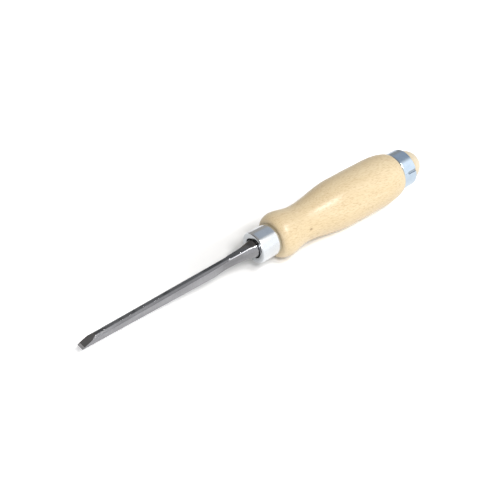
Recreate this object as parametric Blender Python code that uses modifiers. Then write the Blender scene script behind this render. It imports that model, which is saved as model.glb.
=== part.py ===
"""Tanged bevel-edge wood chisel: a forged blade, a turned beech handle, a plated front ferrule
and a plated striking hoop.

Every piece is drawn in the tool's own frame, in millimetres: X runs along the tool's axis from the
cutting edge (x = 0) to the striking end, Z is up on the bevelled side, and the flat back faces -Z.
A parent empty then lays the whole tool down as it rests on a table: on its bead and its grip, flat
back down, with the middle of its footprint at the origin.
"""

import math

import bmesh
import bpy
from mathutils import Matrix, Vector

# ---------------------------------------------------------------- driving dimensions, in millimetres
MM = 0.001
SEGMENTS = 48            # facets around a turned piece
GAP = 0.3                # clearance between pieces that touch

# blade
EDGE_WIDTH = 5.0         # cutting edge
WIDTH_TAPER = 0.007      # width lost per millimetre towards the neck
BACK_BELOW_AXIS = 3.55   # flat back, below the tool's axis
STOCK_AT_EDGE = 3.73     # stock thickness carried out to the cutting edge
STOCK_TAPER = 0.031      # thickness gained per millimetre towards the neck
LAND_WIDTH = 2.1         # flat on top of the blade
CHAMFER_HEIGHT = 1.1     # long side bevels
BEVEL_HEEL_X = 9.4       # where the cutting bevel meets the land
MICRO_LENGTH = 1.4       # honed edge bevel
MICRO_ANGLE = 30.0
EDGE_THICKNESS = 0.05
BLADE_END_X = 87.0       # here the blade starts to draw in to the neck
NECK_X = 98.5            # slimmest part of the neck
GRIND_END_X = 98.8       # the side bevels run out over a short ramp
GRIND_RUNOUT = 2.4
NECK_TOP = 3.1           # top of the neck, above the axis
NECK_RIDGE_HALF_WIDTH = 1.6
NECK_HALF_WIDTH = 1.95
NECK_RIDGE_HEIGHT = 0.35 # narrow ridge on each side of the neck's top
NECK_BASE_HALF_WIDTH = 1.8
NECK_BACK_BELOW_AXIS = 2.75
FLARE_END_X = 118.5      # end of the trumpet-shaped bolster
FLARE_POWER = 2.3        # how late the trumpet opens
BOLSTER_RADIUS = 5.6
RIDGE_TOP_ANGLE = 29.5   # bolster's ridges, from the vertical
RIDGE_SIDE_ANGLE = 36.5
TANG_FRONT_HALF = 3.3    # square tang, half its width
TANG_END_HALF = 1.7
TANG_END_X = 184.0
TANG_POINT_X = 188.0

# front ferrule, a drawn cap
FERRULE_FRONT_X = 118.3
FERRULE_REAR_X = 132.0
FERRULE_RADIUS = 9.65
FERRULE_WALL = 1.0
FERRULE_FLANGE = 1.2
FERRULE_OPENING_RADIUS = 6.15
FERRULE_EDGE_RADIUS = 1.3

# handle
BEAD_RADIUS = 13.8
BEAD_X = 138.0
BEAD_FACE_GAP = 0.3      # between the ferrule and the bead's flat front face
BEAD_FACE_RADIUS = 11.3  # rim of that face
BEAD_FACE_ANGLE = 12.0   # where the bead's curve leaves the rim, on its ellipse
TENON_FRONT_X = 123.5    # the bolster bears on the wood here, inside the ferrule
WAIST_RADIUS = 11.7
WAIST_X = 151.8
GRIP_RADIUS = 15.45
GRIP_FRONT_X = 184.0
GRIP_REAR_X = 212.0
GRIP_CROWN = 0.1         # swelling of the grip between its ends
SHOULDER_RADIUS = 12.3   # wood just before the hoop
SHOULDER_ROUND = 1.0     # its rounded-over end
DOME_END_X = 248.5

# rear hoop
HOOP_FRONT_X = 228.3
HOOP_REAR_X = 237.9
HOOP_RADIUS = 11.75
HOOP_WALL = 1.5
HOOP_EDGE_RADIUS = 1.0

NAME = "wood_chisel"


# ---------------------------------------------------------------- small helpers
def smooth(u):
    """Eases from 0 to 1 with level ends."""
    u = min(max(u, 0.0), 1.0)
    return 0.5 - 0.5 * math.cos(math.pi * u)


def steps(a, b, n):
    """n + 1 even values from a to b."""
    return [a + (b - a) * i / n for i in range(n + 1)]


def arc(cx, cr, radius, start, end, n):
    """Points (x, r) on a circle's arc in the profile plane, angles in degrees from +x towards +r."""
    return [
        (cx + radius * math.cos(math.radians(t)), cr + radius * math.sin(math.radians(t)))
        for t in steps(start, end, n)
    ]


def material(name, colour, roughness, metallic):
    m = bpy.data.materials.new(name)
    m.use_nodes = True
    shader = m.node_tree.nodes["Principled BSDF"]
    shader.inputs["Base Color"].default_value = (*colour, 1.0)
    shader.inputs["Roughness"].default_value = roughness
    shader.inputs["Metallic"].default_value = metallic
    m.diffuse_color = (*colour, 1.0)
    return m


def add_object(name, mesh, collection, parent):
    obj = bpy.data.objects.new(name, mesh)
    collection.objects.link(obj)
    obj.parent = parent
    return obj


def turned(name, profile, closed, collection, parent, mat):
    """A turned piece. The profile is (x, r) pairs that run from the rear to the front along the
    outside; a closed profile makes a ring. Local Z is the tool's axis."""
    bm = bmesh.new()
    verts = [bm.verts.new((r * MM, 0.0, x * MM)) for x, r in profile]
    for a, b in zip(verts, verts[1:]):
        bm.edges.new((a, b))
    if closed:
        bm.edges.new((verts[-1], verts[0]))
    mesh = bpy.data.meshes.new(name)
    bm.to_mesh(mesh)
    bm.free()
    mesh.materials.append(mat)
    obj = add_object(name, mesh, collection, parent)
    # local Z to the tool's X, and a facet instead of an edge line at the bottom
    obj.rotation_mode = "ZYX"
    obj.rotation_euler = (0.0, math.pi / 2, math.pi / SEGMENTS)
    screw = obj.modifiers.new("Turn", "SCREW")
    screw.axis = "Z"
    screw.angle = 2 * math.pi
    screw.screw_offset = 0.0
    screw.steps = SEGMENTS
    screw.render_steps = SEGMENTS
    screw.use_merge_vertices = True
    screw.merge_threshold = 0.00001
    screw.use_smooth_shade = True
    return obj


def loft(name, sections, collection, parent, mat):
    """A solid through rings of (y, z) points, one ring for each x, all with the same count."""
    bm = bmesh.new()
    rings = []
    for x, ring in sections:
        rings.append([bm.verts.new((x * MM, y * MM, z * MM)) for y, z in ring])
    n = len(rings[0])
    for near, far in zip(rings, rings[1:]):
        for i in range(n):
            j = (i + 1) % n
            bm.faces.new((near[i], near[j], far[j], far[i]))
    bm.faces.new(rings[0])
    bm.faces.new(rings[-1])
    bmesh.ops.recalc_face_normals(bm, faces=bm.faces)
    mesh = bpy.data.meshes.new(name)
    bm.to_mesh(mesh)
    bm.free()
    if mat is not None:
        mesh.materials.append(mat)
    return add_object(name, mesh, collection, parent)


def make_cutter(obj):
    obj.hide_render = True
    obj.display_type = "WIRE"
    return obj


def subtract(obj, cutter):
    cut = obj.modifiers.new("Cut " + cutter.name, "BOOLEAN")
    cut.operation = "DIFFERENCE"
    cut.solver = "EXACT"
    cut.object = cutter


# ---------------------------------------------------------------- blade sections
def stock_thickness(x):
    return STOCK_AT_EDGE + STOCK_TAPER * x


def half_width(x):
    return (EDGE_WIDTH - WIDTH_TAPER * x) / 2


def neck_corners():
    """Six corners, from the near back edge round to the near side."""
    return [
        (-NECK_BASE_HALF_WIDTH, -NECK_BACK_BELOW_AXIS),
        (NECK_BASE_HALF_WIDTH, -NECK_BACK_BELOW_AXIS),
        (NECK_HALF_WIDTH, NECK_TOP - NECK_RIDGE_HEIGHT),
        (NECK_RIDGE_HALF_WIDTH, NECK_TOP),
        (-NECK_RIDGE_HALF_WIDTH, NECK_TOP),
        (-NECK_HALF_WIDTH, NECK_TOP - NECK_RIDGE_HEIGHT),
    ]


def bolster_corners():
    """Six points on the bolster's circle, with a narrow ridge on each side of the top facet."""
    top, side = RIDGE_TOP_ANGLE, RIDGE_SIDE_ANGLE
    angles = (-148.0, 148.0, side, top, -top, -side)
    return [
        (BOLSTER_RADIUS * math.sin(math.radians(a)), BOLSTER_RADIUS * math.cos(math.radians(a)))
        for a in angles
    ]


def ground_corners(x):
    """The bevel-edged blade, drawn in to the neck's width behind its parallel part."""
    half, land = half_width(x), LAND_WIDTH / 2
    top = -BACK_BELOW_AXIS + stock_thickness(x)
    draw = smooth((x - BLADE_END_X) / (NECK_X - BLADE_END_X))
    side_y = half + (NECK_HALF_WIDTH - half) * draw
    side_z = top - (side_y - land) * CHAMFER_HEIGHT / (half - land)
    base_y = half + (NECK_BASE_HALF_WIDTH - half) * draw
    base_z = -BACK_BELOW_AXIS + (BACK_BELOW_AXIS - NECK_BACK_BELOW_AXIS) * draw
    return [(-base_y, base_z), (base_y, base_z), (side_y, side_z), (land, top), (-land, top), (-side_y, side_z)]


def section_corners(x):
    """The section anywhere from the cutting edge to the end of the bolster."""
    flare = min(max((x - NECK_X) / (FLARE_END_X - NECK_X), 0.0), 1.0) ** FLARE_POWER
    forged = mixed(neck_corners(), bolster_corners(), flare)
    if x >= GRIND_END_X + GRIND_RUNOUT:
        return forged
    ground = ground_corners(x)
    shown = mixed(ground, forged, smooth((x - GRIND_END_X) / GRIND_RUNOUT))
    if x >= NECK_X:
        return forged[:2] + shown[2:]
    return ground[:2] + shown[2:]


def mixed(a, b, u):
    return [(p[0] + (q[0] - p[0]) * u, p[1] + (q[1] - p[1]) * u) for p, q in zip(a, b)]


def ring_from_corners(corners, roundness, per_side=4):
    """A ring with per_side points on each side of the six-cornered section. Roundness pulls the points
    out to arcs about the axis; the top facet stays flat longest."""
    ring = []
    for k, (a, b) in enumerate(zip(corners, corners[1:] + corners[:1])):
        pull = roundness ** 3 if k == 3 else roundness
        ra, rb = math.hypot(*a), math.hypot(*b)
        for i in range(per_side):
            u = i / per_side
            y, z = a[0] + (b[0] - a[0]) * u, a[1] + (b[1] - a[1]) * u
            d = math.hypot(y, z)
            target = ra + (rb - ra) * u
            grow = 1.0 + pull * (target / d - 1.0)
            ring.append((y * grow, z * grow))
    return ring


def square_ring(half, per_side=4):
    """A square tang section whose points match those of ring_from_corners in number and order."""
    ring = []
    n = 6 * per_side
    start = math.radians(-148.0)
    for corner_index in range(6):
        for i in range(per_side):
            # even turn about the axis, starting near the bolster's first corner
            k = corner_index * per_side + i
            a = start - 2 * math.pi * k / n
            y, z = math.sin(a), math.cos(a)
            scale = half / max(abs(y), abs(z))
            ring.append((y * scale, z * scale))
    return ring


def blade_sections():
    neck = steps(BLADE_END_X, NECK_X, 5)[1:]
    runout = steps(GRIND_END_X, GRIND_END_X + GRIND_RUNOUT, 3)
    flare = steps(GRIND_END_X + GRIND_RUNOUT, FLARE_END_X, 9)[1:]
    sections = []
    for x in [0.0, BLADE_END_X] + neck + runout + flare:
        if x <= NECK_X:
            roundness = 0.15 * smooth((x - BLADE_END_X) / (NECK_X - BLADE_END_X))
        else:
            roundness = 0.15 + 0.85 * smooth((x - NECK_X) / (FLARE_END_X - NECK_X))
        sections.append((x, ring_from_corners(section_corners(x), roundness)))
    bolster_rear_x = TENON_FRONT_X - GAP
    sections.append((bolster_rear_x, ring_from_corners(bolster_corners(), 1.0)))
    # the tang, inside the handle
    sections.append((bolster_rear_x, square_ring(TANG_FRONT_HALF)))
    sections.append((TANG_END_X, square_ring(TANG_END_HALF)))
    sections.append((TANG_POINT_X, square_ring(TANG_END_HALF * 0.35)))
    return sections


def bevel_cutter(name, x0, z0, x1, z1, collection, parent):
    """A block whose underside runs through (x0, z0) and (x1, z1), and which clears the blade."""
    angle = math.atan2(z1 - z0, x1 - x0)
    size = Vector((40.0, 20.0, 12.0))
    bm = bmesh.new()
    bmesh.ops.create_cube(bm, size=1.0)
    bm.transform(Matrix.Diagonal((*(size * MM), 1.0)))
    mesh = bpy.data.meshes.new(name)
    bm.to_mesh(mesh)
    bm.free()
    obj = add_object(name, mesh, collection, parent)
    lift = Vector((-math.sin(angle), 0.0, math.cos(angle))) * (size.z / 2)
    mid = Vector(((x0 + x1) / 2, 0.0, (z0 + z1) / 2))
    obj.location = (mid + lift) * MM
    obj.rotation_euler = (0.0, -angle, 0.0)
    return make_cutter(obj)


# ---------------------------------------------------------------- turned profiles
def handle_outside(x):
    """Radius of the turned wood between the ferrule and the hoop."""
    if x <= BEAD_X:
        start = math.radians(BEAD_FACE_ANGLE)
        length = (BEAD_X - FERRULE_REAR_X - BEAD_FACE_GAP) / math.cos(start)
        height = (BEAD_RADIUS - BEAD_FACE_RADIUS) / (1 - math.sin(start))
        u = (BEAD_X - x) / length
        return BEAD_RADIUS - height * (1 - math.sqrt(max(0.0, 1 - u * u)))
    if x <= WAIST_X:
        u = (x - BEAD_X) / (WAIST_X - BEAD_X)
        return BEAD_RADIUS + (WAIST_RADIUS - BEAD_RADIUS) * smooth(u ** 0.92)
    if x <= GRIP_FRONT_X:
        u = (x - WAIST_X) / (GRIP_FRONT_X - WAIST_X)
        return WAIST_RADIUS + (GRIP_RADIUS - WAIST_RADIUS) * smooth(u)
    if x <= GRIP_REAR_X:
        u = (x - GRIP_FRONT_X) / (GRIP_REAR_X - GRIP_FRONT_X)
        return GRIP_RADIUS + GRIP_CROWN * math.sin(math.pi * u) ** 2
    u = (x - GRIP_REAR_X) / (HOOP_FRONT_X - GAP - GRIP_REAR_X)
    return SHOULDER_RADIUS + (GRIP_RADIUS - SHOULDER_RADIUS) * max(0.0, 1 - u ** 2.2) ** 0.77


def handle_profile():
    """(x, r) from the middle of the striking end, down the outside, to the middle of the front."""
    seat = HOOP_RADIUS - HOOP_WALL - GAP
    dome_start = HOOP_REAR_X - 0.5
    tenon = FERRULE_RADIUS - FERRULE_WALL - GAP
    front = TENON_FRONT_X
    shoulder_x = HOOP_FRONT_X - GAP
    foot_x = FERRULE_REAR_X + BEAD_FACE_GAP
    points = []
    for t in steps(90.0, 0.0, 7):
        a = math.radians(t)
        points.append((dome_start + (DOME_END_X - dome_start) * math.sin(a), seat * math.cos(a)))
    points.append((shoulder_x, seat))
    points.append((shoulder_x, SHOULDER_RADIUS - SHOULDER_ROUND))
    points.append((shoulder_x - 0.3 * SHOULDER_ROUND, SHOULDER_RADIUS - 0.3 * SHOULDER_ROUND))
    rounded_x = shoulder_x - SHOULDER_ROUND
    rear = [GRIP_REAR_X + (rounded_x - GRIP_REAR_X) * math.sin(math.pi / 2 * u) for u in steps(1.0, 0.0, 6)]
    grip = steps(GRIP_REAR_X, GRIP_FRONT_X, 4)[1:]
    waist = steps(GRIP_FRONT_X, WAIST_X, 7)[1:]
    back_of_bead = steps(WAIST_X, BEAD_X, 5)[1:]
    front_of_bead = [BEAD_X - (BEAD_X - foot_x) * math.sin(math.pi / 2 * u) for u in steps(0.0, 1.0, 6)[1:]]
    points += [(x, handle_outside(x)) for x in rear + grip + waist + back_of_bead + front_of_bead]
    points.append((foot_x, tenon))
    points.append((front + 0.5, tenon))
    points.append((front, tenon - 0.5))
    points.append((front, 0.0))
    points[0] = (DOME_END_X, 0.0)
    return points


def ferrule_profile():
    inner = FERRULE_RADIUS - FERRULE_WALL
    e = FERRULE_EDGE_RADIUS
    points = [(FERRULE_REAR_X, FERRULE_RADIUS)]
    points += arc(FERRULE_FRONT_X + e, FERRULE_RADIUS - e, e, 90.0, 180.0, 4)
    points += [
        (FERRULE_FRONT_X, FERRULE_OPENING_RADIUS),
        (FERRULE_FRONT_X + FERRULE_FLANGE, FERRULE_OPENING_RADIUS),
        (FERRULE_FRONT_X + FERRULE_FLANGE, inner),
        (FERRULE_REAR_X, inner),
    ]
    return points


def hoop_profile():
    inner = HOOP_RADIUS - HOOP_WALL
    e = HOOP_EDGE_RADIUS
    points = [(HOOP_REAR_X, inner)]
    points += arc(HOOP_REAR_X - e, HOOP_RADIUS - e, e, 0.0, 90.0, 3)
    points += arc(HOOP_FRONT_X + e, HOOP_RADIUS - e, e, 90.0, 180.0, 3)
    points.append((HOOP_FRONT_X, inner))
    return points


def rest_pose(profile):
    """Turn about Y and move that set the tool down on its bead and its grip, with the middle of its
    footprint at the origin. The turned pieces stand on a facet, so its depth counts, not the radius."""
    depth = math.cos(math.pi / SEGMENTS)
    low = [(x, -r * depth) for x, r in profile]
    bead = [p for p in low if p[0] < WAIST_X]
    grip = [p for p in low if p[0] > WAIST_X]
    for a in bead:
        for b in grip:
            slope = (b[1] - a[1]) / (b[0] - a[0])
            if min(z - a[1] - slope * (x - a[0]) for x, z in low) > -1e-6:
                tilt = math.atan(slope)
                floor = -a[0] * math.sin(tilt) + a[1] * math.cos(tilt)
                rear = max(x * math.cos(tilt) - r * math.sin(tilt) * depth for x, r in profile)
                edge = (-BACK_BELOW_AXIS, EDGE_THICKNESS - BACK_BELOW_AXIS)
                front = min(z * math.sin(tilt) for z in edge)
                return tilt, (-(rear + front) / 2, 0.0, -floor)
    raise ValueError("the bead and the grip have no common table line")


# ---------------------------------------------------------------- model
def build():
    for obj in list(bpy.data.objects):
        bpy.data.objects.remove(obj)
    parts = bpy.data.collections.new(NAME)
    cutters = bpy.data.collections.new(NAME + "_cutters")
    for c in (parts, cutters):
        bpy.context.scene.collection.children.link(c)

    steel = material("ground_steel", (0.40, 0.40, 0.42), 0.33, 1.0)
    plate = material("zinc_plate", (0.72, 0.75, 0.80), 0.22, 1.0)
    hoop_plate = material("hoop_zinc_plate", (0.66, 0.72, 0.82), 0.22, 1.0)
    beech = material("lacquered_beech", (0.84, 0.68, 0.44), 0.32, 0.0)

    profile = handle_profile()
    tool = bpy.data.objects.new(NAME + "_frame", None)
    parts.objects.link(tool)
    tilt, place = rest_pose(profile)
    tool.rotation_euler = (0.0, tilt, 0.0)
    tool.location = Vector(place) * MM

    # blade, neck, bolster and tang: one forging with a ground and a honed bevel
    blade = loft("blade", blade_sections(), parts, tool, steel)
    back = -BACK_BELOW_AXIS
    edge_top = back + EDGE_THICKNESS
    micro_top = edge_top + MICRO_LENGTH * math.tan(math.radians(MICRO_ANGLE))
    heel_top = back + stock_thickness(BEVEL_HEEL_X)
    subtract(blade, bevel_cutter("ground_bevel", MICRO_LENGTH, micro_top, BEVEL_HEEL_X, heel_top, cutters, tool))
    subtract(blade, bevel_cutter("honed_bevel", 0.0, edge_top, MICRO_LENGTH, micro_top, cutters, tool))

    # turned pieces
    turned("front_ferrule", ferrule_profile(), True, parts, tool, plate)
    turned("rear_hoop", hoop_profile(), True, parts, tool, hoop_plate)
    handle = turned("handle", profile, False, parts, tool, beech)

    # tapered bore for the tang, open at the handle's front
    bore_front = TENON_FRONT_X - 2.0
    bore = loft(
        "tang_bore",
        [
            (bore_front, square_ring(TANG_FRONT_HALF + GAP)),
            (TENON_FRONT_X - GAP, square_ring(TANG_FRONT_HALF + GAP)),
            (TANG_POINT_X + GAP, square_ring(TANG_END_HALF + GAP)),
        ],
        cutters,
        tool,
        None,
    )
    subtract(handle, make_cutter(bore))

    for obj in parts.objects:
        if obj.type == "MESH" and obj.name == "blade":
            obj.data.set_sharp_from_angle(angle=math.radians(30.0))


build()
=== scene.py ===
"""Looks of the wood chisel: ground steel blade, zinc-plated ferrule and hoop, lacquered beech handle.

Every piece is drawn in the tool's own frame, in millimetres: X runs along the tool's axis from the
cutting edge, Z is up on the bevelled side. TOOL then lays it on the table as the frame does.
"""

import math

import bmesh
import bpy
from mathutils import Matrix, Vector


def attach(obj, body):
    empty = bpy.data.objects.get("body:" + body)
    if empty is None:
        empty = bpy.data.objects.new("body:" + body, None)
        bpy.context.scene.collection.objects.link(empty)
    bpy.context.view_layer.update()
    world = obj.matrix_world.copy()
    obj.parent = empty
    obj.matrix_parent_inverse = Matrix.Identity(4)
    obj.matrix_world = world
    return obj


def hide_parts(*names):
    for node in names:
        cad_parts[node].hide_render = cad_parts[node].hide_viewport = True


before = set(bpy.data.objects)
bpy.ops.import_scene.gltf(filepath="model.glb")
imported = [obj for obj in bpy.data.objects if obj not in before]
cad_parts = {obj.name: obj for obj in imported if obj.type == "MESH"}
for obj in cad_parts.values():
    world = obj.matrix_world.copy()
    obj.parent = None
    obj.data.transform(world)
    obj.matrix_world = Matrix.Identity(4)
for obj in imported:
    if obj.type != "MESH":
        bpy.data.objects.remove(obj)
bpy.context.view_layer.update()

MM = 0.001
TOOL = Matrix.Translation((-0.124233089, 0.0, 0.008825401)) @ Matrix.Rotation(
    math.radians(-2.0498993), 4, "Y"
)

# ---------------------------------------------------------------- dimensions, in millimetres
ROUND = 144              # divisions around a turned piece

EDGE_WIDTH = 5.0
WIDTH_TAPER = 0.007
BACK = -3.55             # height of the flat back
STOCK_AT_EDGE = 3.73
STOCK_TAPER = 0.031
LAND_WIDTH = 2.1
CHAMFER_HEIGHT = 1.1
BEVEL_HEEL_X = 9.4
MICRO_LENGTH = 1.4
MICRO_ANGLE = 30.0
EDGE_THICKNESS = 0.05
BLADE_END_X = 87.0
NECK_X = 98.5
GRIND_END_X = 98.8
GRIND_RUNOUT = 2.4
NECK_TOP = 3.1
NECK_RIDGE_HALF_WIDTH = 1.6
NECK_HALF_WIDTH = 1.95
NECK_RIDGE_HEIGHT = 0.35
NECK_BASE_HALF_WIDTH = 1.8
NECK_BACK = -2.75
FLARE_END_X = 118.5
FLARE_POWER = 2.3
BOLSTER_RADIUS = 5.6
RIDGE_TOP_ANGLE = 29.5
RIDGE_SIDE_ANGLE = 36.5
TANG_FRONT_HALF = 3.3
TANG_END_HALF = 1.7
TANG_END_X = 184.0
TANG_POINT_X = 188.0

FERRULE_FRONT_X = 118.3
FERRULE_REAR_X = 132.0
FERRULE_RADIUS = 9.65
FERRULE_WALL = 1.0
FERRULE_FLANGE = 1.2
FERRULE_OPENING = 6.15

BEAD_RADIUS = 13.8
BEAD_X = 138.0
BEAD_FACE_X = 132.3      # flat front face of the bead
BEAD_FACE_RADIUS = 11.3
BEAD_FACE_ANGLE = 12.0
WAIST_RADIUS = 11.7
WAIST_X = 151.8
GRIP_RADIUS = 15.45
GRIP_FRONT_X = 184.0
GRIP_REAR_X = 212.0
GRIP_CROWN = 0.1
SHOULDER_RADIUS = 12.3
SHOULDER_ROUND = 1.0
SHOULDER_X = 228.0
SEAT_RADIUS = 9.95
DOME_START_X = 237.4
DOME_END_X = 248.5
TENON_RADIUS = 8.35
TENON_FRONT_X = 123.5
BORE_FRONT_HALF = 3.6
BORE_END_HALF = 2.0
BORE_END_X = 188.3

HOOP_FRONT_X = 228.3
HOOP_REAR_X = 237.9
HOOP_RADIUS = 11.75
HOOP_WALL = 1.5


# ---------------------------------------------------------------- helpers
def smooth(u):
    u = min(max(u, 0.0), 1.0)
    return 0.5 - 0.5 * math.cos(math.pi * u)


def steps(a, b, n):
    return [a + (b - a) * i / n for i in range(n + 1)]


def arc(cx, cr, radius, start, end, n):
    """Points (x, r) on a circle's arc in the profile plane, angles from +x towards +r."""
    return [
        (cx + radius * math.cos(math.radians(t)), cr + radius * math.sin(math.radians(t)))
        for t in steps(start, end, n)
    ]


def place(name, bm, material, node, sharp):
    """Makes the piece, lays it on the table and lets it stand for its frame node."""
    bmesh.ops.recalc_face_normals(bm, faces=bm.faces)
    mesh = bpy.data.meshes.new(name)
    bm.to_mesh(mesh)
    bm.free()
    mesh.materials.append(material)
    mesh.shade_smooth()
    mesh.set_sharp_from_angle(angle=math.radians(sharp))
    if "line" in mesh.attributes:
        for edge, mark in zip(mesh.edges, mesh.attributes["line"].data):
            if mark.value:
                edge.use_edge_sharp = True
    obj = bpy.data.objects.new(name, mesh)
    bpy.context.scene.collection.objects.link(obj)
    obj.matrix_world = TOOL
    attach(obj, "root")
    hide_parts(node)
    return obj


def add_ring(bm, points):
    return [bm.verts.new((x * MM, y * MM, z * MM)) for x, y, z in points]


def bridge(bm, a, b):
    n = len(a)
    for i in range(n):
        j = (i + 1) % n
        bm.faces.new((a[i], a[j], b[j], b[i]))


def fan(bm, ring, point):
    tip = bm.verts.new(Vector(point) * MM)
    n = len(ring)
    for i in range(n):
        bm.faces.new((ring[i], ring[(i + 1) % n], tip))


def circle(x, r):
    return [
        (x, r * math.sin(2 * math.pi * i / ROUND), r * math.cos(2 * math.pi * i / ROUND))
        for i in range(ROUND)
    ]


def square(x, half):
    """A square section with as many points as a circle."""
    ring = []
    for i in range(ROUND):
        a = 2 * math.pi * i / ROUND
        y, z = math.sin(a), math.cos(a)
        k = half / max(abs(y), abs(z))
        ring.append((x, y * k, z * k))
    return ring


# ---------------------------------------------------------------- node helpers
class Nodes:
    """Short way to write a material's or the world's node tree."""

    def __init__(self, tree):
        self.tree = tree

    def add(self, kind, inputs=None, **settings):
        node = self.tree.nodes.new(kind)
        for key, value in settings.items():
            setattr(node, key, value)
        for key, value in (inputs or {}).items():
            if isinstance(value, bpy.types.NodeSocket):
                self.tree.links.new(value, node.inputs[key])
            else:
                node.inputs[key].default_value = value
        return node

    def math(self, op, a, b=0.0, c=None):
        ins = {0: a, 1: b}
        if c is not None:
            ins[2] = c
        return self.add("ShaderNodeMath", ins, operation=op).outputs[0]

    def noise(self, vector, scale, detail=4.0, roughness=0.55, distortion=0.0):
        return self.add(
            "ShaderNodeTexNoise",
            {"Vector": vector, "Scale": scale, "Detail": detail, "Roughness": roughness, "Distortion": distortion},
        ).outputs["Fac"]

    def dot(self, vector, way):
        return self.add(
            "ShaderNodeVectorMath", {0: vector, 1: Vector(way).normalized()}, operation="DOT_PRODUCT"
        ).outputs["Value"]

    def pack(self, x, y, z):
        return self.add("ShaderNodeCombineXYZ", {0: x, 1: y, 2: z}).outputs[0]

    def stretch(self, vector, scale, rotation=(0.0, 0.0, 0.0), location=(0.0, 0.0, 0.0)):
        return self.add(
            "ShaderNodeMapping",
            {"Vector": vector, "Scale": scale, "Rotation": rotation, "Location": location},
        ).outputs[0]

    def ramp(self, fac, low, high, smoothly=True):
        return self.add(
            "ShaderNodeMapRange",
            {"Value": fac, "From Min": low, "From Max": high, "To Min": 0.0, "To Max": 1.0},
            interpolation_type="SMOOTHSTEP" if smoothly else "LINEAR",
        ).outputs[0]

    def span(self, fac, low, high):
        """Maps 0..1 to low..high."""
        return self.add(
            "ShaderNodeMapRange",
            {"Value": fac, "From Min": 0.0, "From Max": 1.0, "To Min": low, "To Max": high},
        ).outputs[0]

    def mix(self, fac, a, b, blend="MIX"):
        node = self.add("ShaderNodeMix", data_type="RGBA", blend_type=blend)
        for socket, value in ((node.inputs[0], fac), (node.inputs[6], a), (node.inputs[7], b)):
            if isinstance(value, bpy.types.NodeSocket):
                self.tree.links.new(value, socket)
            else:
                socket.default_value = value
        return node.outputs[2]


def new_material(name):
    m = bpy.data.materials.new(name)
    m.use_nodes = True
    return m, Nodes(m.node_tree), m.node_tree.nodes["Principled BSDF"]


def rgb(r, g, b):
    return (r, g, b, 1.0)


# ---------------------------------------------------------------- materials
GRAIN = Vector((1.0, -0.11, -0.13))      # the grain runs a little across the handle's axis
GRAIN_FACE = Vector((0.11, 0.80, 0.17))
GRAIN_DEEP = GRAIN.cross(GRAIN_FACE)
KNOT = Vector((152.4, -11.2, 3.4))


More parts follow.
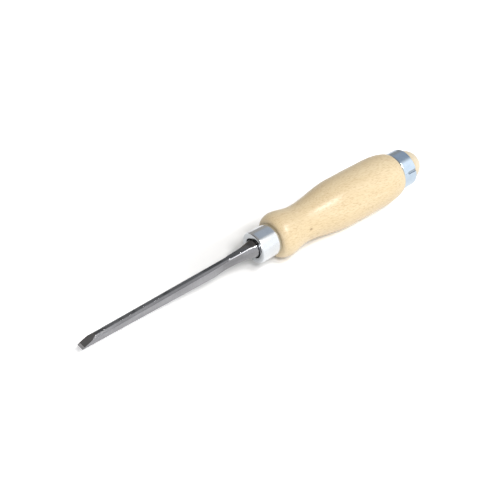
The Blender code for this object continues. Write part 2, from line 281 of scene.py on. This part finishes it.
def beech_material():
    m, n, shader = new_material("lacquered_beech")
    link = m.node_tree.links.new
    here = n.add("ShaderNodeTexCoord").outputs["Object"]
    drift = n.noise(n.stretch(here, (30.0, 60.0, 60.0)), 1.0, 2.0, 0.5)
    length = n.dot(here, GRAIN)
    face = n.math("ADD", n.dot(here, GRAIN_FACE), n.math("MULTIPLY", drift, 0.0030))
    deep = n.math("ADD", n.dot(here, GRAIN_DEEP), n.math("MULTIPLY", drift, -0.0024))

    def grain(a, b, shift=0.0):
        return n.pack(
            n.math("MULTIPLY_ADD", length, a, shift),
            n.math("MULTIPLY_ADD", face, b, shift * 0.7),
            n.math("MULTIPLY_ADD", deep, b, shift * 1.3),
        )

    # broad warm and pale zones along the grain
    zones = n.noise(grain(16.0, 85.0), 1.0, 3.0, 0.5)
    colour = n.mix(n.ramp(zones, 0.3, 0.7), rgb(*WOOD_WARM), rgb(*WOOD_PALE))

    # faint growth rings about a pith well outside the handle
    dy = n.math("ADD", face, 0.052)
    dz = n.math("ADD", deep, 0.034)
    radius = n.math("SQRT", n.math("ADD", n.math("MULTIPLY", dy, dy), n.math("MULTIPLY", dz, dz)))
    ring = n.math("FRACT", n.math("MULTIPLY", radius, 300.0))
    late = n.math("MULTIPLY", n.ramp(ring, 0.35, 0.95), n.ramp(ring, 1.0, 0.95))
    colour = n.mix(n.math("MULTIPLY", late, 0.06), colour, rgb(*WOOD_LATE))

    # short brown ray flecks, and pale ones between them
    fleck = n.ramp(n.noise(grain(400.0, 2300.0), 1.0, 1.0, 0.4), 0.50, 0.66)
    dense = n.span(n.ramp(n.noise(grain(60.0, 160.0, 0.4), 1.0, 2.0, 0.5), 0.3, 0.7), 0.70, 1.0)
    flecks = n.math("MULTIPLY", fleck, dense)
    colour = n.mix(n.math("MULTIPLY", flecks, 0.50), colour, rgb(*WOOD_FLECK))
    pale = n.ramp(n.noise(grain(260.0, 1600.0, 0.8), 1.0, 1.0, 0.4), 0.56, 0.72)
    colour = n.mix(n.math("MULTIPLY", pale, 0.26), colour, rgb(*WOOD_LIGHT))

    # fine fibre
    fibre = n.noise(grain(520.0, 7000.0, 0.2), 1.0, 2.0, 0.6)
    colour = n.mix(n.math("MULTIPLY", n.ramp(fibre, 0.45, 0.75), 0.16), colour, rgb(*WOOD_LATE))

    # a pin knot on the near side of the waist
    away = n.add("ShaderNodeVectorMath", {0: here, 1: KNOT * MM}, operation="SUBTRACT").outputs[0]
    off = n.add("ShaderNodeVectorMath", {0: n.stretch(away, (0.55, 1.0, 1.0))}, operation="LENGTH").outputs["Value"]
    rough_off = n.math("ADD", off, n.math("MULTIPLY", n.math("SUBTRACT", fibre, 0.5), 0.0004))
    colour = n.mix(n.math("MULTIPLY", n.ramp(rough_off, 0.00085, 0.00030), 0.62), colour, rgb(0.180, 0.105, 0.048))

    # pale end grain on the striking end, and painted shade: the tenon inside the ferrule painted near black, so the
    # gap round the bolster in the ferrule's opening shows dark
    x = n.add("ShaderNodeSeparateXYZ", {0: here}).outputs[0]
    colour = n.mix(n.math("MULTIPLY", n.ramp(x, 0.2385, 0.2415), 0.55), colour, rgb(0.56, 0.52, 0.43))
    colour = n.mix(n.math("MULTIPLY", n.ramp(x, 0.1300, 0.1285), 0.90), colour, rgb(0.050, 0.045, 0.040))

    link(colour, shader.inputs["Base Color"])
    link(n.math("ADD", n.span(zones, 0.30, 0.34), n.math("MULTIPLY", flecks, 0.06)), shader.inputs["Roughness"])
    shader.inputs["Specular IOR Level"].default_value = 0.42
    shader.inputs["Diffuse Roughness"].default_value = 0.15
    shader.inputs["Coat Weight"].default_value = 0.06
    shader.inputs["Coat Roughness"].default_value = 0.22
    height = n.math("SUBTRACT", n.math("MULTIPLY", fibre, 0.4), n.math("MULTIPLY", flecks, 0.6))
    bump = n.add("ShaderNodeBump", {"Strength": 0.10, "Distance": 0.00008, "Height": height})
    link(bump.outputs[0], shader.inputs["Normal"])
    return m


WOOD_WARM = (0.551, 0.441, 0.273)
WOOD_PALE = (0.592, 0.491, 0.322)
WOOD_LATE = (0.445, 0.315, 0.176)
WOOD_FLECK = (0.365, 0.245, 0.126)
WOOD_LIGHT = (0.660, 0.550, 0.390)


def steel_material():
    m, n, shader = new_material("ground_steel")
    link = m.node_tree.links.new
    here = n.add("ShaderNodeTexCoord").outputs["Object"]
    # tone is each face's painted reflection and shade, set per facet in make_blade
    tone = n.add("ShaderNodeAttribute", attribute_name="tone").outputs["Fac"]
    scale = n.add("ShaderNodeAttribute", attribute_name="forged").outputs["Fac"]
    lines = n.noise(n.stretch(here, (5200.0, 260.0, 260.0), rotation=(0.0, 0.0, math.radians(8.0))), 1.0, 3.0, 0.6)
    cloud = n.noise(n.stretch(here, (75.0, 260.0, 260.0)), 1.0, 3.0, 0.55)
    shade = n.math("MULTIPLY", n.span(n.ramp(cloud, 0.3, 0.7), 0.90, 1.07), n.span(n.ramp(lines, 0.35, 0.8), 0.94, 1.12))
    # patchy forge scale left on the flat top
    patch = n.ramp(n.noise(n.stretch(here, (95.0, 60.0, 60.0), location=(0.37, 0.0, 0.0)), 1.0, 2.0, 0.6), 0.46, 0.60)
    shade = n.math("MULTIPLY", shade, n.math("SUBTRACT", 1.0, n.math("MULTIPLY", n.math("MULTIPLY", patch, scale), 0.38)))
    value = n.math("MULTIPLY", tone, shade)
    warm = n.math("MULTIPLY", value, n.span(scale, 1.0, 1.04))
    cool = n.math("MULTIPLY", value, n.span(scale, 1.05, 0.97))
    colour = n.add("ShaderNodeCombineColor", {0: warm, 1: value, 2: cool}).outputs[0]
    link(colour, shader.inputs["Base Color"])
    shader.inputs["Metallic"].default_value = 1.0
    grit = n.math("ADD", n.math("MULTIPLY", lines, 0.6), n.math("MULTIPLY", cloud, 0.4))
    link(n.math("ADD", n.span(grit, 0.07, 0.13), n.math("MULTIPLY", scale, 0.12)), shader.inputs["Roughness"])
    bump = n.add("ShaderNodeBump", {"Strength": 0.1, "Distance": 0.000004, "Height": lines})
    link(bump.outputs[0], shader.inputs["Normal"])
    return m


def plate_material(name, light, dark, low, high):
    m, n, shader = new_material(name)
    link = m.node_tree.links.new
    here = n.add("ShaderNodeTexCoord").outputs["Object"]
    # tone is painted per face: painted reflection on the ferrule's flange and painted shade on its inner wall, and
    # the darker joint of the hoop
    tone = n.add("ShaderNodeAttribute", attribute_name="tone").outputs["Fac"]
    cloud = n.noise(n.stretch(here, (160.0, 160.0, 160.0)), 1.0, 4.0, 0.6)
    rings = n.noise(n.stretch(here, (6000.0, 120.0, 120.0)), 1.0, 2.0, 0.5)
    colour = n.mix(n.ramp(cloud, 0.3, 0.7), dark, light)
    colour = n.mix(1.0, colour, n.add("ShaderNodeCombineColor", {0: tone, 1: tone, 2: tone}).outputs[0], "MULTIPLY")
    link(colour, shader.inputs["Base Color"])
    shader.inputs["Metallic"].default_value = 1.0
    link(n.span(n.math("ADD", n.math("MULTIPLY", rings, 0.5), n.math("MULTIPLY", cloud, 0.5)), low, high), shader.inputs["Roughness"])
    bump = n.add("ShaderNodeBump", {"Strength": 0.12, "Distance": 0.00001, "Height": rings})
    link(bump.outputs[0], shader.inputs["Normal"])
    return m


# ---------------------------------------------------------------- blade
def stock_thickness(x):
    return STOCK_AT_EDGE + STOCK_TAPER * x


def half_width(x):
    return (EDGE_WIDTH - WIDTH_TAPER * x) / 2


def mirrored(base, side, ridge):
    """Six corners from the near back edge round to the near side, from three on the far side."""
    return [(-base[0], base[1]), base, side, ridge, (-ridge[0], ridge[1]), (-side[0], side[1])]


def neck_corners():
    return mirrored(
        (NECK_BASE_HALF_WIDTH, NECK_BACK),
        (NECK_HALF_WIDTH, NECK_TOP - NECK_RIDGE_HEIGHT),
        (NECK_RIDGE_HALF_WIDTH, NECK_TOP),
    )


def bolster_corners():
    top, side = RIDGE_TOP_ANGLE, RIDGE_SIDE_ANGLE
    angles = (-148.0, 148.0, side, top, -top, -side)
    return [
        (BOLSTER_RADIUS * math.sin(math.radians(a)), BOLSTER_RADIUS * math.cos(math.radians(a)))
        for a in angles
    ]


def mixed(a, b, u):
    return [(p[0] + (q[0] - p[0]) * u, p[1] + (q[1] - p[1]) * u) for p, q in zip(a, b)]


def ground_corners(x):
    """The bevel-edged blade, drawn in to the neck's width behind its parallel part."""
    half, land = half_width(x), LAND_WIDTH / 2
    top = BACK + stock_thickness(x)
    draw = smooth((x - BLADE_END_X) / (NECK_X - BLADE_END_X))
    side_y = half + (NECK_HALF_WIDTH - half) * draw
    side_z = top - (side_y - land) * CHAMFER_HEIGHT / (half - land)
    base_y = half + (NECK_BASE_HALF_WIDTH - half) * draw
    base_z = BACK + (NECK_BACK - BACK) * draw
    return mirrored((base_y, base_z), (side_y, side_z), (land, top))


def section_corners(x):
    """The section anywhere from the cutting edge to the end of the bolster."""
    flare = min(max((x - NECK_X) / (FLARE_END_X - NECK_X), 0.0), 1.0) ** FLARE_POWER
    forged = mixed(neck_corners(), bolster_corners(), flare)
    if x >= GRIND_END_X + GRIND_RUNOUT:
        return forged
    ground = ground_corners(x)
    shown = mixed(ground, forged, smooth((x - GRIND_END_X) / GRIND_RUNOUT))
    return (forged if x >= NECK_X else ground)[:2] + shown[2:]


def blade_ring(x, corners, roundness, per_side=8):
    """The six-cornered section with per_side points on each side, pulled out to arcs about the axis
    as roundness grows; the top facet stays flat longest."""
    ring = []
    for k, (a, b) in enumerate(zip(corners, corners[1:] + corners[:1])):
        pull = roundness ** 3 if k == 3 else roundness
        ra, rb = math.hypot(*a), math.hypot(*b)
        for i in range(per_side):
            u = i / per_side
            y, z = a[0] + (b[0] - a[0]) * u, a[1] + (b[1] - a[1]) * u
            grow = 1.0 + pull * ((ra + (rb - ra) * u) / math.hypot(y, z) - 1.0)
            ring.append((x, y * grow, z * grow))
    return ring


def tang_ring(x, half, per_side=8):
    ring = []
    count = 6 * per_side
    for k in range(count):
        a = math.radians(-148.0) - 2 * math.pi * k / count
        y, z = math.sin(a), math.cos(a)
        grow = half / max(abs(y), abs(z))
        ring.append((x, y * grow, z * grow))
    return ring


def painted_facet_tone(k, x):
    """Painted reflection and shade: how bright the steel is painted on each side of the section, set for the
    surroundings each facet reflects: 0 back, 1 and 5 sides, 2 and 4 side bevels, 3 the flat on top."""
    neck = smooth((x - BLADE_END_X) / (NECK_X - BLADE_END_X))
    if k == 3:
        return LAND_TONE + (NECK_TOP_TONE - LAND_TONE) * neck
    if k in (2, 4):
        ridge = RIDGE_TONE + (RIDGE_END_TONE - RIDGE_TONE) * smooth((x - NECK_X - 11.0) / 6.5)
        return CHAMFER_TONE + (ridge - CHAMFER_TONE) * smooth((x - GRIND_END_X) / GRIND_RUNOUT)
    return SIDE_TONE + (NECK_SIDE_TONE - SIDE_TONE) * neck


# painted reflection and shade: the steel's base colour per facet, set to how bright each facet looks with what it
# reflects; RIDGE_TONE paints the white highlight line along the neck's ridge, fading to RIDGE_END_TONE towards the
# bolster
LAND_TONE = 0.225
CHAMFER_TONE = 0.18
SIDE_TONE = 0.335
NECK_TOP_TONE = 0.195
NECK_SIDE_TONE = 0.25
RIDGE_TONE = 0.70
RIDGE_END_TONE = 0.05
BEVEL_TONE = 0.24
HONED_TONE = 0.80


def make_blade(material):
    per_side = 8
    bm = bmesh.new()
    tone = bm.faces.layers.float.new("tone")
    forged = bm.faces.layers.float.new("forged")
    line = bm.edges.layers.int.new("line")
    neck = steps(BLADE_END_X, NECK_X, 14)[1:]
    runout = steps(GRIND_END_X, GRIND_END_X + GRIND_RUNOUT, 8)
    flare = steps(GRIND_END_X + GRIND_RUNOUT, FLARE_END_X, 28)[1:]
    sections = []
    parallel = steps(0.0, BLADE_END_X - 1.0, 24) + [BLADE_END_X]
    for x in parallel + neck + runout + flare:
        if x <= NECK_X:
            roundness = 0.15 * smooth((x - BLADE_END_X) / (NECK_X - BLADE_END_X))
        else:
            roundness = 0.15 + 0.85 * smooth((x - NECK_X) / (FLARE_END_X - NECK_X))
        sections.append((x, blade_ring(x, section_corners(x), roundness)))
    rear = TENON_FRONT_X - 0.3
    sections.append((rear, blade_ring(rear, bolster_corners(), 1.0)))
    sections.append((rear, tang_ring(rear, TANG_FRONT_HALF)))
    sections.append((TANG_END_X, tang_ring(TANG_END_X, TANG_END_HALF)))
    sections.append((TANG_POINT_X, tang_ring(TANG_POINT_X, TANG_END_HALF * 0.35)))
    rings = [add_ring(bm, points) for _, points in sections]
    count = 6 * per_side
    for (xa, _), (xb, _), a, b in zip(sections, sections[1:], rings, rings[1:]):
        for i in range(count):
            j = (i + 1) % count
            face = bm.faces.new((a[i], a[j], b[j], b[i]))
            # each face is painted with its facet's reflection brightness
            face[tone] = painted_facet_tone(i // per_side, (xa + xb) / 2)
            face[forged] = 1.0 if i // per_side == 3 else 0.0
        if xb <= FLARE_END_X:
            for i in range(0, count, per_side):
                bm.edges.get((a[i], b[i]))[line] = 1
    # the end caps take the sides' painted reflection brightness
    bm.faces.new(rings[0])[tone] = SIDE_TONE
    bm.faces.new(rings[-1])[tone] = SIDE_TONE
    bmesh.ops.recalc_face_normals(bm, faces=bm.faces)

    # the cutting end: ground bevel and honed edge bevel, their new faces painted with their own reflection brightness
    edge_top = BACK + EDGE_THICKNESS
    micro_top = edge_top + MICRO_LENGTH * math.tan(math.radians(MICRO_ANGLE))
    heel_top = BACK + stock_thickness(BEVEL_HEEL_X)
    ground = math.atan2(heel_top - micro_top, BEVEL_HEEL_X - MICRO_LENGTH)
    honed = math.radians(MICRO_ANGLE)
    cuts = (
        (BEVEL_HEEL_X, heel_top, ground, BEVEL_TONE),
        (0.0, edge_top, honed, HONED_TONE),
    )
    for x, z, angle, shade in cuts:
        bmesh.ops.bisect_plane(
            bm,
            geom=bm.verts[:] + bm.edges[:] + bm.faces[:],
            plane_co=Vector((x, 0.0, z)) * MM,
            plane_no=(-math.sin(angle), 0.0, math.cos(angle)),
            dist=1e-8,
            clear_outer=True,
        )
        rim = [e for e in bm.edges if e.is_boundary]
        filled = bmesh.ops.edgeloop_fill(bm, edges=rim)
        for face in filled["faces"]:
            face[tone] = shade

    obj = place("blade_ground", bm, material, "blade", 24.0)
    soften = obj.modifiers.new("Edges", "BEVEL")
    soften.limit_method = "ANGLE"
    soften.angle_limit = math.radians(24.0)
    soften.width = 0.025 * MM
    soften.segments = 2
    soften.harden_normals = True
    return obj


# ---------------------------------------------------------------- turned pieces
def handle_outside(x):
    if x <= BEAD_X:
        start = math.radians(BEAD_FACE_ANGLE)
        length = (BEAD_X - BEAD_FACE_X) / math.cos(start)
        height = (BEAD_RADIUS - BEAD_FACE_RADIUS) / (1 - math.sin(start))
        u = (BEAD_X - x) / length
        return BEAD_RADIUS - height * (1 - math.sqrt(max(0.0, 1 - u * u)))
    if x <= WAIST_X:
        u = (x - BEAD_X) / (WAIST_X - BEAD_X)
        return BEAD_RADIUS + (WAIST_RADIUS - BEAD_RADIUS) * smooth(u ** 0.92)
    if x <= GRIP_FRONT_X:
        u = (x - WAIST_X) / (GRIP_FRONT_X - WAIST_X)
        return WAIST_RADIUS + (GRIP_RADIUS - WAIST_RADIUS) * smooth(u)
    if x <= GRIP_REAR_X:
        u = (x - GRIP_FRONT_X) / (GRIP_REAR_X - GRIP_FRONT_X)
        return GRIP_RADIUS + GRIP_CROWN * math.sin(math.pi * u) ** 2
    u = (x - GRIP_REAR_X) / (SHOULDER_X - GRIP_REAR_X)
    return SHOULDER_RADIUS + (GRIP_RADIUS - SHOULDER_RADIUS) * max(0.0, 1 - u ** 2.2) ** 0.77


def make_handle(material):
    profile = []
    for t in steps(90.0, 0.0, 24)[1:]:
        a = math.radians(t)
        profile.append((DOME_START_X + (DOME_END_X - DOME_START_X) * math.sin(a), SEAT_RADIUS * math.cos(a)))
    profile.append((SHOULDER_X, SEAT_RADIUS))
    # the wood's rear end is rounded over before the hoop
    round_x = SHOULDER_X - SHOULDER_ROUND
    round_r = handle_outside(round_x)
    low, bend = SHOULDER_RADIUS - SHOULDER_ROUND, SHOULDER_RADIUS + 0.15
    for u in steps(0.0, 1.0, 9)[:-1]:
        a, b, c = (1 - u) ** 2, 2 * u * (1 - u), u * u
        profile.append((SHOULDER_X * (a + b) + round_x * c, low * a + bend * b + round_r * c))
    rear = [GRIP_REAR_X + (round_x - GRIP_REAR_X) * math.sin(math.pi / 2 * u) for u in steps(1.0, 0.0, 22)]
    grip = steps(GRIP_REAR_X, GRIP_FRONT_X, 8)[1:]
    waist = steps(GRIP_FRONT_X, WAIST_X, 26)[1:]
    bead_back = steps(WAIST_X, BEAD_X, 16)[1:]
    bead_front = [BEAD_X - (BEAD_X - BEAD_FACE_X) * math.sin(math.pi / 2 * u) for u in steps(0.0, 1.0, 18)[1:]]
    profile += [(x, handle_outside(x)) for x in rear + grip + waist + bead_back + bead_front]
    profile += [(BEAD_FACE_X, TENON_RADIUS), (TENON_FRONT_X + 0.5, TENON_RADIUS), (TENON_FRONT_X, TENON_RADIUS - 0.5)]
    bm = bmesh.new()
    rings = [add_ring(bm, circle(x, r)) for x, r in profile]
    rings.append(add_ring(bm, square(TENON_FRONT_X, BORE_FRONT_HALF)))
    rings.append(add_ring(bm, square(BORE_END_X, BORE_END_HALF)))
    for a, b in zip(rings, rings[1:]):
        bridge(bm, a, b)
    fan(bm, rings[0], (DOME_END_X, 0.0, 0.0))
    fan(bm, rings[-1], (BORE_END_X, 0.0, 0.0))
    return place("handle_turned", bm, material, "handle", 30.0)


# painted reflection: the front face of the ferrule's flange is painted darker than the rest of the plating
FLANGE_TONE = 0.72


def make_ferrule(material):
    inner = FERRULE_RADIUS - FERRULE_WALL
    front, rear = FERRULE_FRONT_X, FERRULE_REAR_X
    profile = arc(rear - 0.25, FERRULE_RADIUS - 0.25, 0.25, 0.0, 90.0, 3)
    profile += arc(front + 1.3, FERRULE_RADIUS - 1.3, 1.3, 90.0, 180.0, 10)
    profile += arc(front + 0.25, FERRULE_OPENING + 0.25, 0.25, 180.0, 270.0, 3)
    profile += [(front + FERRULE_FLANGE, FERRULE_OPENING), (front + FERRULE_FLANGE, inner), (rear, inner)]
    bm = bmesh.new()
    tone = bm.faces.layers.float.new("tone")
    rings = [add_ring(bm, circle(x, r)) for x, r in profile]
    for a, b in zip(rings, rings[1:] + rings[:1]):
        bridge(bm, a, b)
    for face in bm.faces:
        at = face.calc_center_median() / MM
        # painted shade: the inside behind the flange, seen through the gap round the bolster, is painted darker
        inside = math.hypot(at.y, at.z) < inner + 0.05 and at.x > front + FERRULE_FLANGE - 0.05
        flange = FLANGE_TONE + (1.0 - FLANGE_TONE) * smooth((at.x - front - 0.05) / 0.5)
        face[tone] = 0.60 if inside else flange
    return place("ferrule_drawn", bm, material, "front_ferrule", 40.0)


SEAM_ANGLE = 66.0        # the hoop's joint, from the top towards the near side
SEAM_HALF = 0.92         # half its width behind SEAM_FRONT_X, ahead of which it is closed to a line
SEAM_CLOSED = 0.05
SEAM_FRONT_X = 231.2
SEAM_DEPTH = 0.35


def make_hoop(material):
    """A rolled ring whose joint shows as a shallow groove, open at the rear."""
    inner = HOOP_RADIUS - HOOP_WALL
    front, rear = HOOP_FRONT_X, HOOP_REAR_X
    profile = [(rear, inner)]
    profile += arc(rear - 0.45, HOOP_RADIUS - 0.45, 0.45, 0.0, 90.0, 6)
    profile += [(x, HOOP_RADIUS) for x in steps(rear - 0.6, SEAM_FRONT_X - 0.6, 12)]
    profile += arc(front + 1.1, HOOP_RADIUS - 1.1, 1.1, 90.0, 180.0, 9)
    profile.append((front, inner))

    def seam_half(x):
        return SEAM_CLOSED + (SEAM_HALF - SEAM_CLOSED) * smooth((x - SEAM_FRONT_X + 0.4) / 0.8)

    bm = bmesh.new()
    tone = bm.faces.layers.float.new("tone")

    def ring(side, sunk):
        """One edge of the joint, on its rim or on the groove's floor."""
        points = []
        for x, r in profile:
            depth = SEAM_DEPTH * smooth((x - SEAM_FRONT_X + 0.8) / 1.2) + 0.12
            low = max(inner, r - depth) if sunk else r
            a = -math.radians(SEAM_ANGLE) + side * seam_half(x) / HOOP_RADIUS
            points.append((x, low * math.sin(a), low * math.cos(a)))
        return add_ring(bm, points)

    rings = []
    for k in range(ROUND + 1):
        points = []
        for x, r in profile:
            gap = seam_half(x) / HOOP_RADIUS
            a = -math.radians(SEAM_ANGLE) + gap + (2 * math.pi - 2 * gap) * k / ROUND
            points.append((x, r * math.sin(a), r * math.cos(a)))
        rings.append(add_ring(bm, points))
    body = len(rings)
    rings += [ring(-1.0, True), ring(1.0, True)]
    for k, (a, b) in enumerate(zip(rings, rings[1:] + rings[:1])):
        count = len(profile)
        for i in range(count):
            j = (i + 1) % count
            bm.faces.new((a[i], a[j], b[j], b[i]))[tone] = 1.0 if k < body - 1 else SEAM_TONE
    bmesh.ops.remove_doubles(bm, verts=bm.verts, dist=1e-7)
    return place("hoop_rolled", bm, material, "rear_hoop", 40.0)


SEAM_TONE = 0.62


# ---------------------------------------------------------------- pieces
make_blade(steel_material())
make_handle(beech_material())
make_ferrule(plate_material("zinc_plate", rgb(0.74, 0.77, 0.80), rgb(0.69, 0.72, 0.75), 0.10, 0.20))
make_hoop(plate_material("hoop_zinc_plate", rgb(0.545, 0.645, 0.755), rgb(0.50, 0.60, 0.71), 0.12, 0.22))


# ---------------------------------------------------------------- table
def make_floor(name, height, white, seen):
    bm = bmesh.new()
    bmesh.ops.create_grid(bm, x_segments=1, y_segments=1, size=3.0)
    mesh = bpy.data.meshes.new(name)
    bm.to_mesh(mesh)
    bm.free()
    m, n, shader = new_material(name)
    x, y = n.add("ShaderNodeSeparateXYZ", {0: n.add("ShaderNodeTexCoord").outputs["Object"]}).outputs[:2]
    # painted light: the white is raised round the blade's front and tip, halfway round the grip and hoop, and on the
    # far side, where the tool's shadows would otherwise show
    ends = n.math("MAXIMUM", n.ramp(x, -0.030, -0.100), n.math("MULTIPLY", n.ramp(x, 0.016, 0.055), 0.5))
    ends = n.math("MAXIMUM", ends, n.ramp(y, 0.028, 0.048))
    tone = n.span(ends, white[0], white[1])
    paper = n.add("ShaderNodeBsdfDiffuse", {"Color": n.add("ShaderNodeCombineColor", {0: tone, 1: tone, 2: tone}).outputs[0]})
    m.node_tree.links.new(paper.outputs[0], m.node_tree.nodes["Material Output"].inputs["Surface"])
    mesh.materials.append(m)
    obj = bpy.data.objects.new(name, mesh)
    obj.location = (0.0, 0.0, height)
    obj.visible_camera = seen
    obj.visible_diffuse = not seen
    obj.visible_glossy = not seen
    obj.visible_shadow = not seen
    bpy.context.scene.collection.objects.link(obj)


# the white sheet under the tool, and the same sheet as the camera sees it, with painted light that whitens it towards
# its ends and on the far side, so the tool's shadows there wash out
make_floor("table", -0.00020, (0.86, 0.86), False)
make_floor("table_top", -0.00007, (0.84, 1.42), True)


# ---------------------------------------------------------------- light
def toward(azimuth, elevation):
    a, e = math.radians(azimuth), math.radians(elevation)
    return Vector((math.cos(e) * math.cos(a), math.cos(e) * math.sin(a), math.sin(e)))


AIM = Vector((0.03, 0.0, 0.012))


def soft_light(name, azimuth, elevation, distance, width, height, radiance, colour):
    light = bpy.data.lights.new(name, "AREA")
    light.shape = "RECTANGLE"
    light.size, light.size_y = width, height
    light.energy = radiance * math.pi * width * height
    light.color = colour
    obj = bpy.data.objects.new(name, light)
    way = toward(azimuth, elevation)
    obj.location = AIM + way * distance
    obj.rotation_euler = way.to_track_quat("Z", "Y").to_euler()
    bpy.context.scene.collection.objects.link(obj)
    return obj


soft_light("key", -65.0, 61.5, 1.4, 0.18, 0.20, 56.0, (1.0, 0.985, 0.955))
soft_light("window", -96.0, 52.0, 1.4, 0.44, 0.34, 20.0, (1.0, 0.99, 0.975))
soft_light("side", -154.0, 12.0, 1.4, 0.5, 0.22, 13.0, (1.0, 1.0, 1.0))

world = bpy.data.worlds.new("studio")
bpy.context.scene.world = world
world.use_nodes = True
w = Nodes(world.node_tree)
sky = world.node_tree.nodes["Background"]
way = w.add("ShaderNodeTexCoord").outputs["Generated"]


def along(x, y, z):
    return w.add("ShaderNodeVectorMath", {0: way, 1: Vector((x, y, z)).normalized()}, operation="DOT_PRODUCT").outputs["Value"]


dome = w.mix(w.ramp(along(0.0, 0.0, 1.0), 0.0, 0.85, False), rgb(0.43, 0.41, 0.39), rgb(0.385, 0.370, 0.350))
# dim corners of the room behind the camera and on the left, and the bright white wall in front
lifted = w.ramp(along(0.0, 0.0, 1.0), 0.08, 0.22)
for azimuth, elevation in ((-152.0, 22.0), (146.0, 24.0)):
    corner = w.math("MULTIPLY", w.ramp(along(*toward(azimuth, elevation)), 0.87, 0.97), lifted)
    dome = w.mix(corner, dome, rgb(0.22, 0.22, 0.22))
dome = w.mix(w.ramp(along(*toward(30.0, 52.0)), 0.82, 0.95), dome, rgb(0.43, 0.47, 0.53))
dome = w.mix(w.ramp(along(0.35, -0.94, 0.0), 0.20, 0.57), dome, rgb(1.34, 1.34, 1.34))
world.node_tree.links.new(dome, sky.inputs["Color"])
sky.inputs["Strength"].default_value = 1.0

bpy.context.scene.view_settings.view_transform = "Standard"
bpy.context.scene.view_settings.look = "None"

# ---------------------------------------------------------------- camera
EYE = Vector((-0.24078365, -0.42538369, 0.48339441))
RIGHT = Vector((0.76881567, -0.63944914, 0.0052219))
UP = Vector((0.41685106, 0.50734301, 0.75421367))
AHEAD = Vector((0.48493058, 0.57767453, -0.6566083))
PIXEL = 0.7352 / 1300.0
EYE = EYE + (UP * 0.1 - RIGHT * 0.28) * PIXEL
lens = bpy.data.cameras.new("camera")
lens.sensor_width = 36.0
lens.lens = 93.6
lens.clip_start = 0.01
camera = bpy.data.objects.new("camera", lens)
pose = Matrix((RIGHT, UP, -AHEAD)).transposed().to_4x4()
pose.translation = EYE
camera.matrix_world = TOOL @ pose
bpy.context.scene.collection.objects.link(camera)
bpy.context.scene.camera = camera
